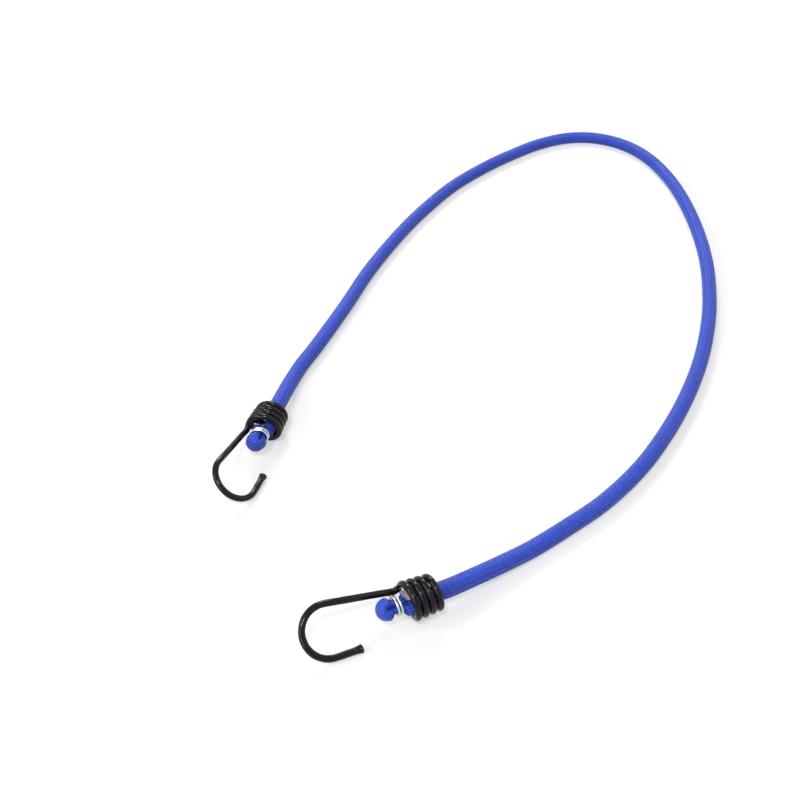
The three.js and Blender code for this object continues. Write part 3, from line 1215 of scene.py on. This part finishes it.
@dataclass(frozen=True)
class Clip:
    """Sizes of the wire clip and of the fold that it pinches, in millimetres.

    They are the solids' sizes, but the tail is cut shorter and less aslant, and a seam below nought
    presses the limbs of the fold together.
    """

    neck_width: float = 5.4
    neck_thickness: float = 7.4
    neck_length: float = 4.3
    pinch_width: float = 2.9
    pinch_thickness: float = 6.6
    limb_gap: float = 0.45
    bulb_width: float = 4.5
    bulb_thickness: float = 8.6
    bulb_slit: float = 0.6
    shoulder: float = 2.0
    tail_length: float = 3.4
    lean_across: float = 0.6
    lean_square: float = 0.8
    wire: float = 1.05
    turns: float = 2.2
    turn_gap: float = 0.45
    clearance: float = 0.32
    standoff: float = 2.75
    seam: float = -0.15
    end_taper: float = 0.72
    turn_points: int = 40
    smoothing: int = 8
    sides: int = 14
    step: float = 0.25

    @property
    def travel(self) -> float:
        """How far the wire climbs along the fold."""
        return self.turns * (self.wire + self.turn_gap)

    @property
    def front(self) -> float:
        """Where the clip ends."""
        return self.standoff + self.travel + self.wire

    def limb(self, width: float, thickness: float, gap: float) -> tuple[float, float, float]:
        """Offset, width and thickness of a limb that swells over the gap into a closed seam."""
        reach = width + gap / 2
        return (reach + self.seam) / 2, reach - self.seam, thickness

    def build(self, hook: Hook, end: End, trees: SweepTrees, plating: Material) -> Object:
        """Builds the clip's wire.

        Args:
            hook: The hook, for its frame.
            end: The end that it belongs to.
            trees: The sweep trees.
            plating: The wire's material.

        Returns:
            The wire.
        """
        pinch = (self.pinch_width + self.limb_gap) / 2
        stand = self.clearance + self.wire / 2
        half_across = pinch + self.pinch_width / 2
        corner = pinch / (half_across + self.clearance)
        half_square = self.pinch_thickness / 2 / math.sqrt(1 - corner * corner)
        share = np.linspace(0, 1, round(self.turn_points * self.turns) + 1)
        angle = TAU / 4 + TAU * self.turns * (share - 0.5)
        points = np.stack([
            self.standoff + self.wire / 2 + self.travel * share,
            (half_across + stand) * np.cos(angle),
            (half_square + stand) * np.sin(angle),
        ], axis=1)
        rows = evenly(smooth_curve(points, self.smoothing), self.step)
        run = lengths_along(rows)
        nearest = np.minimum(run, run[-1] - run)
        radius = self.wire / 2 * np.clip(self.end_taper + nearest, 0, 1)
        name, points = f"clip_{end.name}_wire", hook.placed(rows, end)
        return trees.build_wire(name, points, radius, run, self.sides, plating)


# The cord's way over the table between the coils, in millimetres.
ROUTE = (
    (91, -14), (108, -1), (126, 14), (146, 36), (162, 59), (178, 87), (193, 120),
    (205, 156), (212, 186), (217, 218), (219, 253), (218, 288), (214, 318), (206, 345),
    (196, 362), (184, 372.5), (170, 378), (153, 377.5), (132, 368), (109, 350), (93, 335),
    (70, 309), (50, 278), (36, 252), (16, 207), (2, 167), (-12, 130), (-20, 110),
)


@dataclass
class Cord:
    """The cord from cut end to cut end, in millimetres."""

    hook: Hook
    clip: Clip
    start: End
    finish: End
    diameter: float = 8.0
    sag: float = 0.2
    step: float = 0.39
    yarns: int = 24
    lay: float = 28.0
    yarn_width: float = 0.86
    yarn_crown: float = 0.07
    yarn_belly: float = 0.1
    wave: float = 0.09
    # Depth of the dark tube under the yarns, whose colour is painted shade.
    shade_sheet_inset: float = 0.35
    core_inset: float = 0.95
    core_proud: float = 1.0
    face_inset: float = 0.35
    face_flare: float = 2.5
    face_rows: int = 4
    threads: int = 37
    thread_fill: float = 0.96
    thread_sides: int = 6
    thread_every: int = 6
    tube_every: int = 4
    filling_sides: int = 24
    stretches: int = 6
    leg_points: int = 40
    fold_points: int = 60
    span_points: int = 60
    rows: np.ndarray = field(init=False)
    run: np.ndarray = field(init=False)
    ends: tuple[int, int] = field(init=False)

    def __post_init__(self) -> None:
        """Lays the cord's line: one end, the free stretch, and the other end."""
        first = self.end_rows(self.start)
        last = self.end_rows(self.finish)[::-1]
        last[:, FORWARD] *= -1
        middle = self.free_rows()
        rows = evenly(np.vstack([first, middle, last]), self.step)
        self.rows = self.frame_rows(rows)
        self.run = lengths_along(self.rows[:, PLACE])
        fold = lengths_along(first[:, PLACE])[-1]
        far_fold = lengths_along(last[:, PLACE])[-1]
        first_free = int(np.searchsorted(self.run, fold))
        last_free = int(np.searchsorted(self.run, self.run[-1] - far_fold))
        self.ends = (first_free, last_free)

    @property
    def rim(self) -> int:
        """Number of rows between the core's cut face and the sheath's cut rim."""
        return round(self.core_proud / self.step)

    @property
    def last_row(self) -> int:
        """Number of the last row."""
        return len(self.rows) - 1

    def end_rows(self, end: End) -> np.ndarray:
        """One end, from its cut tail round the bulb and back through the coil.

        Args:
            end: The end.

        Returns:
            Rows of place, upward direction, direction along the cord, and half width and thickness.
        """
        clip = self.clip
        neck = clip.limb(clip.neck_width, clip.neck_thickness, clip.limb_gap)
        pinch = clip.limb(clip.pinch_width, clip.pinch_thickness, clip.limb_gap)
        bulb = clip.limb(clip.bulb_width, clip.bulb_thickness, clip.bulb_slit)
        whole = (0.0, self.diameter, self.diameter)
        bulb_x = clip.front + clip.shoulder
        tail_x = clip.standoff - clip.tail_length
        neck_x = clip.standoff - clip.tail_length / 2
        pass_x = clip.standoff - clip.neck_length
        rear_x = -self.hook.coil_length - self.hook.wire
        share = np.linspace(0, 1, self.leg_points)
        tail_legs = 3
        legs = [
            (tail_x, clip.standoff, neck, pinch, 1),
            (clip.standoff, clip.front, pinch, pinch, 1),
            (clip.front, bulb_x, pinch, bulb, 1),
            (bulb_x, clip.front, bulb, pinch, -1),
            (clip.front, clip.standoff, pinch, pinch, -1),
            (clip.standoff, neck_x, pinch, neck, -1),
            (neck_x, pass_x, neck, neck, -1),
            (pass_x, rear_x, neck, whole, -1),
        ]
        tables = []
        for from_x, to_x, low, high, way in legs:
            offset, width, thickness = (mix(a, b, ease(share)) for a, b in zip(low, high))
            turn = np.full_like(share, 0 if way > 0 else TAU / 2)
            drop = share if high is whole else 0 * share
            x = mix(from_x, to_x, share)
            tables.append(np.column_stack([x, way * offset, width, thickness, turn, drop]))
        turn = np.linspace(0, TAU / 2, self.fold_points)
        flat = 0 * turn
        reach, width, thickness = bulb
        x, offset = bulb_x + reach * np.sin(turn), reach * np.cos(turn)
        fold = np.column_stack([x, offset, flat + width, flat + thickness, turn, flat])
        tables.insert(tail_legs, fold)
        table = np.vstack([tables[0], *(leg[1:] for leg in tables[1:])])
        x, offset, width, thickness, turn, drop = table.T[:, :, None]
        along, across, down = self.hook.axes(end)
        centre = self.hook.middle(end) + x * along + offset * across
        centre = centre - ease(drop) * self.hook.cord_drop * UP
        upward = unit(mix(-down, UP, drop))
        forward = np.cos(turn) * along - np.sin(turn) * across
        return np.column_stack([centre, upward, forward, width / 2, thickness / 2])

    def free_rows(self) -> np.ndarray:
        """The free stretch: straight out of each coil, down to the table and along the route.

        Returns:
            Rows of place, upward direction, direction along the cord, and half width and thickness.
        """
        radius = self.diameter / 2
        rest = radius - self.sag
        exits = []
        for end in (self.start, self.finish):
            middle = self.hook.middle(end) - self.hook.cord_drop * UP
            rear = middle - end.along() * (self.hook.coil_length + self.hook.wire)
            exits.append((rear, rear - end.along() * radius))
        table = [np.array([x, y, rest]) for x, y in ROUTE]
        points = np.array([exits[0][0], exits[0][1], *table, exits[1][1], exits[1][0]])
        curve = smooth_curve(points, self.span_points)
        curve[:, 2] = np.maximum(curve[:, 2], rest)
        high = exits[0][0][2]
        laid = ease(np.clip((high - curve[:, 2]) / (high - rest), 0, 1))
        half_lift = radius - self.sag * laid
        upward = np.broadcast_to(UP, curve.shape)
        forward = unit(np.gradient(curve, axis=0))
        return np.column_stack([curve, upward, forward, 0 * half_lift + radius, half_lift])[1:-1]

    def frame_rows(self, rows: np.ndarray) -> np.ndarray:
        """Finds the section's axes, and leans them where the tails are cut aslant.

        Args:
            rows: Place, upward direction, direction along the cord, and half width and thickness.

        Returns:
            Rows of place, the section's side and lift, and its reach along each.
        """
        centre, upward, halves = rows[:, PLACE], rows[:, UPWARD], rows[:, HALF_SIDE:]
        tangent = unit(rows[:, FORWARD])
        lift = unit(upward - tangent * np.sum(upward * tangent, axis=1, keepdims=True))
        side = np.cross(lift, tangent)
        run = lengths_along(centre)
        for end, away in ((self.start, run), (self.finish, run[-1] - run)):
            along, across, down = self.hook.axes(end)
            lean = across * self.clip.lean_across - down * self.clip.lean_square
            share = np.clip(1 - away / self.clip.tail_length, 0, 1)
            lift = lift + np.outer(share * (lift @ lean), along)
            side = side + np.outer(share * (side @ lean), along)
        return np.column_stack([centre, side, lift, halves])

    def core_insets(self) -> np.ndarray:
        """How far inside the surface the core lies at each row: it swells where it is cut."""
        away = np.minimum(self.run, self.run[-1] - self.run)
        return mix(self.face_inset, self.core_inset, ease(np.clip(away / self.face_flare, 0, 1)))

    def pick(self, first: int, last: int, every: int) -> np.ndarray:
        """Numbers of every so many rows of a stretch, and of its last row."""
        return np.unique(np.append(np.arange(first, last, every), last))

    def line(
        self, name: str, first: int, last: int, every: int, inset: np.ndarray,
    ) -> tuple[Mesh, np.ndarray]:
        """A stretch of the cord as a line with its sections' axes and sizes.

        Args:
            name: Name of the mesh.
            first: First row.
            last: Last row.
            every: Rows to each point.
            inset: How far inside the cord's surface the section lies at each row.

        Returns:
            The line, and the length at each of its points.
        """
        picked = self.pick(first, last, every)
        rows, run = self.rows[picked], self.run[picked]
        mesh = polyline(name, rows[:, PLACE], {
            "side": rows[:, SIDE],
            "lift": rows[:, LIFT],
            "half_side": (rows[:, HALF_SIDE] - inset[picked]) * MM,
            "half_lift": (rows[:, HALF_LIFT] - inset[picked]) * MM,
            "run": run * MM,
        })
        return mesh, run

    def build_braid(self, trees: SweepTrees, yarn: Material) -> list[Object]:
        """Builds the braided sheath: both folded ends, and the free stretch in parts.

        Args:
            trees: The sweep trees.
            yarn: The yarns' material.

        Returns:
            The pieces, from one end to the other.
        """
        free = np.linspace(*self.ends, self.stretches + 1).round().astype(int)
        marks = [self.rim, *free.tolist(), self.last_row - self.rim]
        names = ["braid_end_a", *(f"braid_{n + 1}" for n in range(self.stretches)), "braid_end_b"]
        made = []
        for name, first, last in zip(names, marks[:-1], marks[1:]):
            line, run = self.line(name + "_line", first, last, 1, 0 * self.run)
            piece = grown(name, line, trees.braid, {
                "Yarns": self.yarns,
                "Lay": self.lay * MM,
                "Width": self.yarn_width * MM,
                "Crown": self.yarn_crown * MM,
                "Belly": self.yarn_belly * MM,
                "Wave": self.wave * MM,
                "Material": yarn,
            })
            chart_strands(piece.data, len(run), trees.yarn_sides, run)
            made.append(piece)
        return made

    def build_core(self, trees: SweepTrees, rubber: Material) -> Object:
        """Builds the bundle of rubber threads, which stands a little proud of the cut sheath.

        Args:
            trees: The sweep trees.
            rubber: The threads' material.

        Returns:
            The bundle.
        """
        insets = self.core_insets()
        line, run = self.line("core_line", 0, self.last_row, self.thread_every, insets)
        reach = self.diameter / 2 - self.core_inset
        rings = round((math.sqrt(9 + 12 * (self.threads - 1)) - 3) / 6)
        width = 2 * reach / (2 * rings + 1)
        core = grown("core_threads", line, trees.bundle, {
            "Threads": self.threads,
            "Spacing": width * MM,
            "Width": width * self.thread_fill * MM,
            "Reach": reach * MM,
            "Sides": self.thread_sides,
            "Material": rubber,
        })
        chart_strands(core.data, len(run), self.thread_sides, run)
        return core

    def build_filling(
        self,
        name: str,
        first: int,
        last: int,
        inset: np.ndarray,
        every: int,
        skin: Material,
    ) -> Object:
        """Builds a closed bar inside the cord's surface.

        Args:
            name: Name of the piece.
            first: First row.
            last: Last row.
            inset: How far inside the surface it lies at each row.
            every: Rows to each of its rings.
            skin: Its material.

        Returns:
            The bar.
        """
        sides = self.filling_sides
        picked = self.pick(first, last, every)
        rows = self.rows[picked]
        angle = np.linspace(0, TAU, sides, endpoint=False)[None, :, None]
        half_side, half_lift = (
            (rows[:, reach] - inset[picked])[:, None, None] for reach in (HALF_SIDE, HALF_LIFT)
        )
        points = (
            rows[:, None, PLACE]
            + rows[:, None, SIDE] * half_side * np.cos(angle)
            + rows[:, None, LIFT] * half_lift * np.sin(angle)
        )
        count = len(rows)
        faces: list[tuple[int, ...]] = []
        for ring in range(count - 1):
            low, high = ring * sides, (ring + 1) * sides
            for corner in range(sides):
                follow = (corner + 1) % sides
                faces.append((low + corner, high + corner, high + follow, low + follow))
        faces.append(tuple(range(sides)))
        faces.append(tuple(reversed(range((count - 1) * sides, count * sides))))
        mesh = bpy.data.meshes.new(name)
        mesh.from_pydata((points.reshape(-1, 3) * MM).tolist(), [], faces)
        mesh.materials.append(skin)
        mesh.shade_smooth()
        for cap in (-2, -1):
            mesh.polygons[cap].use_smooth = False
        chart_strands(mesh, count, sides, self.run[picked])
        return link(name, mesh)

    def build_tubes(self, inside: Material) -> list[Object]:
        """Builds the dark inside of the sheath, a tube whose colour is painted shade seen between
        the yarns.

        Args:
            inside: Its material, a painted shade.

        Returns:
            The free stretch, and both folded ends.
        """
        first_free, last_free = self.ends
        inner = self.rim + 1
        inset = self.shade_sheet_inset + 0 * self.run
        stretches = (
            ("painted_shade_tube", first_free, last_free, self.tube_every),
            ("painted_shade_tube_end_a", inner, first_free, 1),
            ("painted_shade_tube_end_b", last_free, self.last_row - inner, 1),
        )
        return [
            self.build_filling(name, first, last, inset, every, inside)
            for name, first, last, every in stretches
        ]

    def build_faces(self, rubber: Material) -> list[Object]:
        """Builds the core's cut faces.

        Args:
            rubber: Their material.

        Returns:
            The faces at both tails.
        """
        deep = self.rim + 1 + self.face_rows
        insets = self.core_insets()
        stretches = (("a", 0, deep), ("b", self.last_row - deep, self.last_row))
        return [
            self.build_filling(f"core_face_{end}", first, last, insets, 1, rubber)
            for end, first, last in stretches
        ]


@dataclass(frozen=True)
class Fuzz:
    """Loose filaments on the cut rims and on the folded bulbs, in millimetres."""

    seed: int = 7
    rim_count: int = 170
    rim_length: float = 1.0
    rim_inward: float = 0.7
    rim_droop: float = 0.3
    nap_count: int = 500
    nap_length: float = 0.8
    nap_rise: float = 0.7
    nap_droop: float = 0.2
    root_depth: float = 0.1
    stray: float = 0.45
    bend: float = 0.5
    least_length: float = 0.35
    radius: float = 0.035
    taper: float = 0.6
    points: int = 5
    sides: int = 5

    def build(self, cord: Cord, end: End, trees: SweepTrees, filament: Material) -> Object:
        """Builds one end's loose filaments.

        Args:
            cord: The cord.
            end: Its end.
            trees: The sweep trees.
            filament: Their material.

        Returns:
            The filaments.
        """
        chance = np.random.default_rng(self.seed)
        first = end is cord.start
        rim = cord.rim if first else cord.last_row - cord.rim
        along = end.along()
        reach = (cord.rows[:, PLACE] - cord.hook.middle(end)) @ along
        number = np.arange(len(reach))
        own = number < cord.ends[0] if first else number > cord.ends[1]
        bulb = np.flatnonzero(own & (reach > cord.clip.front + cord.clip.shoulder / 2))
        nap = chance.choice(bulb, self.nap_count)
        rows = cord.rows[np.concatenate([np.full(self.rim_count, rim), nap])]
        count = len(rows)
        half_side, half_lift = rows[:, [HALF_SIDE]], rows[:, [HALF_LIFT]]
        angle = chance.uniform(0, TAU, (count, 1))
        side, lift = rows[:, SIDE] * np.cos(angle), rows[:, LIFT] * np.sin(angle)
        root = rows[:, PLACE] + side * (half_side - self.root_depth)
        root = root + lift * (half_lift - self.root_depth)
        outward = unit(side / half_side + lift / half_lift)
        on_rim = np.arange(count)[:, None] < self.rim_count
        stray = chance.normal(0, self.stray, (count, 3))
        inward = -along - outward * chance.uniform(0, self.rim_inward, (count, 1))
        way = unit(np.where(on_rim, inward, outward * self.nap_rise) + stray)
        droop = np.where(on_rim, outward * self.rim_droop, outward * self.nap_droop)
        bend = chance.normal(0, self.bend, (count, 3)) - droop
        longest = np.where(on_rim, self.rim_length, self.nap_length)
        length = longest * chance.uniform(self.least_length, 1, (count, 1))
        share = np.linspace(0, 1, self.points)[None, :, None]
        offset = way[:, None] * share + bend[:, None] * share**2
        points = (root[:, None] + offset * length[:, None]).reshape(-1, 3)
        radius = np.tile(self.radius * (1 - self.taper * share.ravel()), count)
        name, run = f"loose_filaments_{end.name}", share.ravel() * self.nap_length
        return trees.build_wire(name, points, radius, run, self.sides, filament)


@dataclass(frozen=True)
class Lamp:
    """A soft lamp: its place and size in millimetres, and its power in watts."""

    name: str
    place: Place
    target: Place
    size: tuple[float, float]
    power: float
    lean: Place = (0, 0, 1)

    def build(self) -> None:
        """Adds the lamp, with its height along its lean as nearly as what it faces allows."""
        data = bpy.data.lights.new(self.name, "AREA")
        data.shape = "RECTANGLE"
        data.size, data.size_y = (side * MM for side in self.size)
        data.energy = self.power
        lamp = bpy.data.objects.new(self.name, data)
        lamp.location = Vector(self.place) * MM
        back = (Vector(self.place) - Vector(self.target)).normalized()
        side = Vector(self.lean).cross(back).normalized()
        lamp.rotation_euler = Matrix((side, back.cross(side), back)).transposed().to_euler()
        bpy.context.scene.collection.objects.link(lamp)


LOOP_MIDDLE: Place = (60, 120, 0)
FRONT_COIL: Place = (36, -47, 9)
LAMPS = (
    Lamp("rear_box", (-90, 1245, 975), LOOP_MIDDLE, (500, 400), 11),
    Lamp("near_box", (-150, -650, 1200), LOOP_MIDDLE, (350, 300), 8),
    Lamp("left_box", (-1100, -100, 800), LOOP_MIDDLE, (60, 1100), 2),
    Lamp("right_box", (1150, 300, 900), LOOP_MIDDLE, (60, 1100), 2),
    Lamp("front_box", (-839, -649, 562), FRONT_COIL, (400, 1392), 9, (434, -1204, -546)),
)


@dataclass(frozen=True)
class Studio:
    """Camera, world and floor, in millimetres where they are places."""

    eye: Place = (33.5, -327.8, 351.4)
    elevation: float = 40.0
    lens: float = 48.1
    sensor: float = 36.0
    clip_start: float = 0.01
    clip_end: float = 50.0
    world_level: float = 0.15
    floor_half: float = 3000.0

    def build_camera(self) -> None:
        """Sets the camera at the photograph's angle."""
        data = bpy.data.cameras.new("camera")
        data.lens = self.lens
        data.sensor_width = self.sensor
        data.clip_start = self.clip_start
        data.clip_end = self.clip_end
        camera = bpy.data.objects.new("camera", data)
        camera.location = Vector(self.eye) * MM
        camera.rotation_euler = (math.radians(90 - self.elevation), 0, 0)
        bpy.context.scene.collection.objects.link(camera)
        bpy.context.scene.camera = camera

    def build_world(self) -> None:
        """Adds an even world, which shows as white paper."""
        world = bpy.data.worlds.new("studio")
        world.use_nodes = True
        world.node_tree.nodes.clear()
        graph = Graph(world.node_tree)
        level = graph.seen() * (1 - self.world_level) + self.world_level
        shader = graph.node("ShaderNodeBackground", None, {"Color": WHITE, "Strength": level})
        graph.node("ShaderNodeOutputWorld", None, {"Surface": graph.out(shader)})
        bpy.context.scene.world = world

    def build_floor(self, paper: Material) -> None:
        """Adds the table that the cord lies on.

        Args:
            paper: Its material.
        """
        half = self.floor_half * MM
        mesh = bpy.data.meshes.new("floor")
        corners = [(-half, -half, 0), (half, -half, 0), (half, half, 0), (-half, half, 0)]
        mesh.from_pydata(corners, [], [(0, 1, 2, 3)])
        mesh.materials.append(paper)
        link("floor", mesh)


def dress(piece: Object, body: Body, slot: Slot, *nodes: str) -> None:
    """Makes a piece ride on its body and stand for solids.

    Args:
        piece: The piece.
        body: The body that it moves with.
        slot: Its material slot in the record; not used.
        nodes: Solids that it stands for.
    """
    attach(piece, body.value)
    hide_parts(*nodes)
    log.info("%s: %d faces on %s", piece.name, len(piece.data.polygons), body.value)


def make_cord(cord: Cord, trees: SweepTrees) -> None:
    """Builds and dresses the cord's pieces.

    Args:
        cord: The cord.
        trees: The sweep trees.
    """
    # The tubes under the braid are painted shade, seen between the yarns.
    tube, *tube_ends = cord.build_tubes(ShadeSheetFinish().make())
    braid = cord.build_braid(trees, BraidFinish().make())
    filament = FrayFinish().make()
    fuzz = [Fuzz().build(cord, end, trees, filament) for end in (cord.start, cord.finish)]
    rubber = RubberFinish().make()
    core = cord.build_core(trees, rubber)
    faces = cord.build_faces(rubber)
    strands = [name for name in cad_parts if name.startswith("core_strand")]
    for piece in (tube, *tube_ends, *braid, *fuzz):
        dress(piece, Body.CORD, Slot.SHEATH, "sheath")
    for piece in (core, *faces):
        dress(piece, Body.CORD, Slot.CORE, *strands)


def make_fittings(hook: Hook, clip: Clip, trees: SweepTrees) -> None:
    """Builds and dresses the hooks and the clips.

    Args:
        hook: The hook's sizes.
        clip: The clip's sizes.
        trees: The sweep trees.
    """
    coat = CoatFinish().make()
    tip_coat = TIP_COAT.make()
    plating = BrightWireFinish().make()
    for end in ENDS:
        for piece in hook.build(end, trees, coat, tip_coat):
            dress(piece, end.body, Slot.HOOK, f"hook_{end.name}")
        wire = clip.build(hook, end, trees, plating)
        dress(wire, Body.CORD, Slot.CLIP, f"clip_{end.name}")


def main() -> None:
    """Builds the bungee cord and its studio."""
    logging.basicConfig(level=logging.INFO, format="%(name)s: %(message)s")
    bpy.context.scene.view_settings.view_transform = "Standard"
    studio = Studio()
    studio.build_camera()
    hook = Hook()
    clip = Clip()
    trees = SweepTrees()
    make_cord(Cord(hook, clip, *ENDS), trees)
    make_fittings(hook, clip, trees)
    studio.build_floor(FloorFinish().make())
    for lamp in LAMPS:
        lamp.build()
    studio.build_world()


if __name__ == "__main__":
    main()
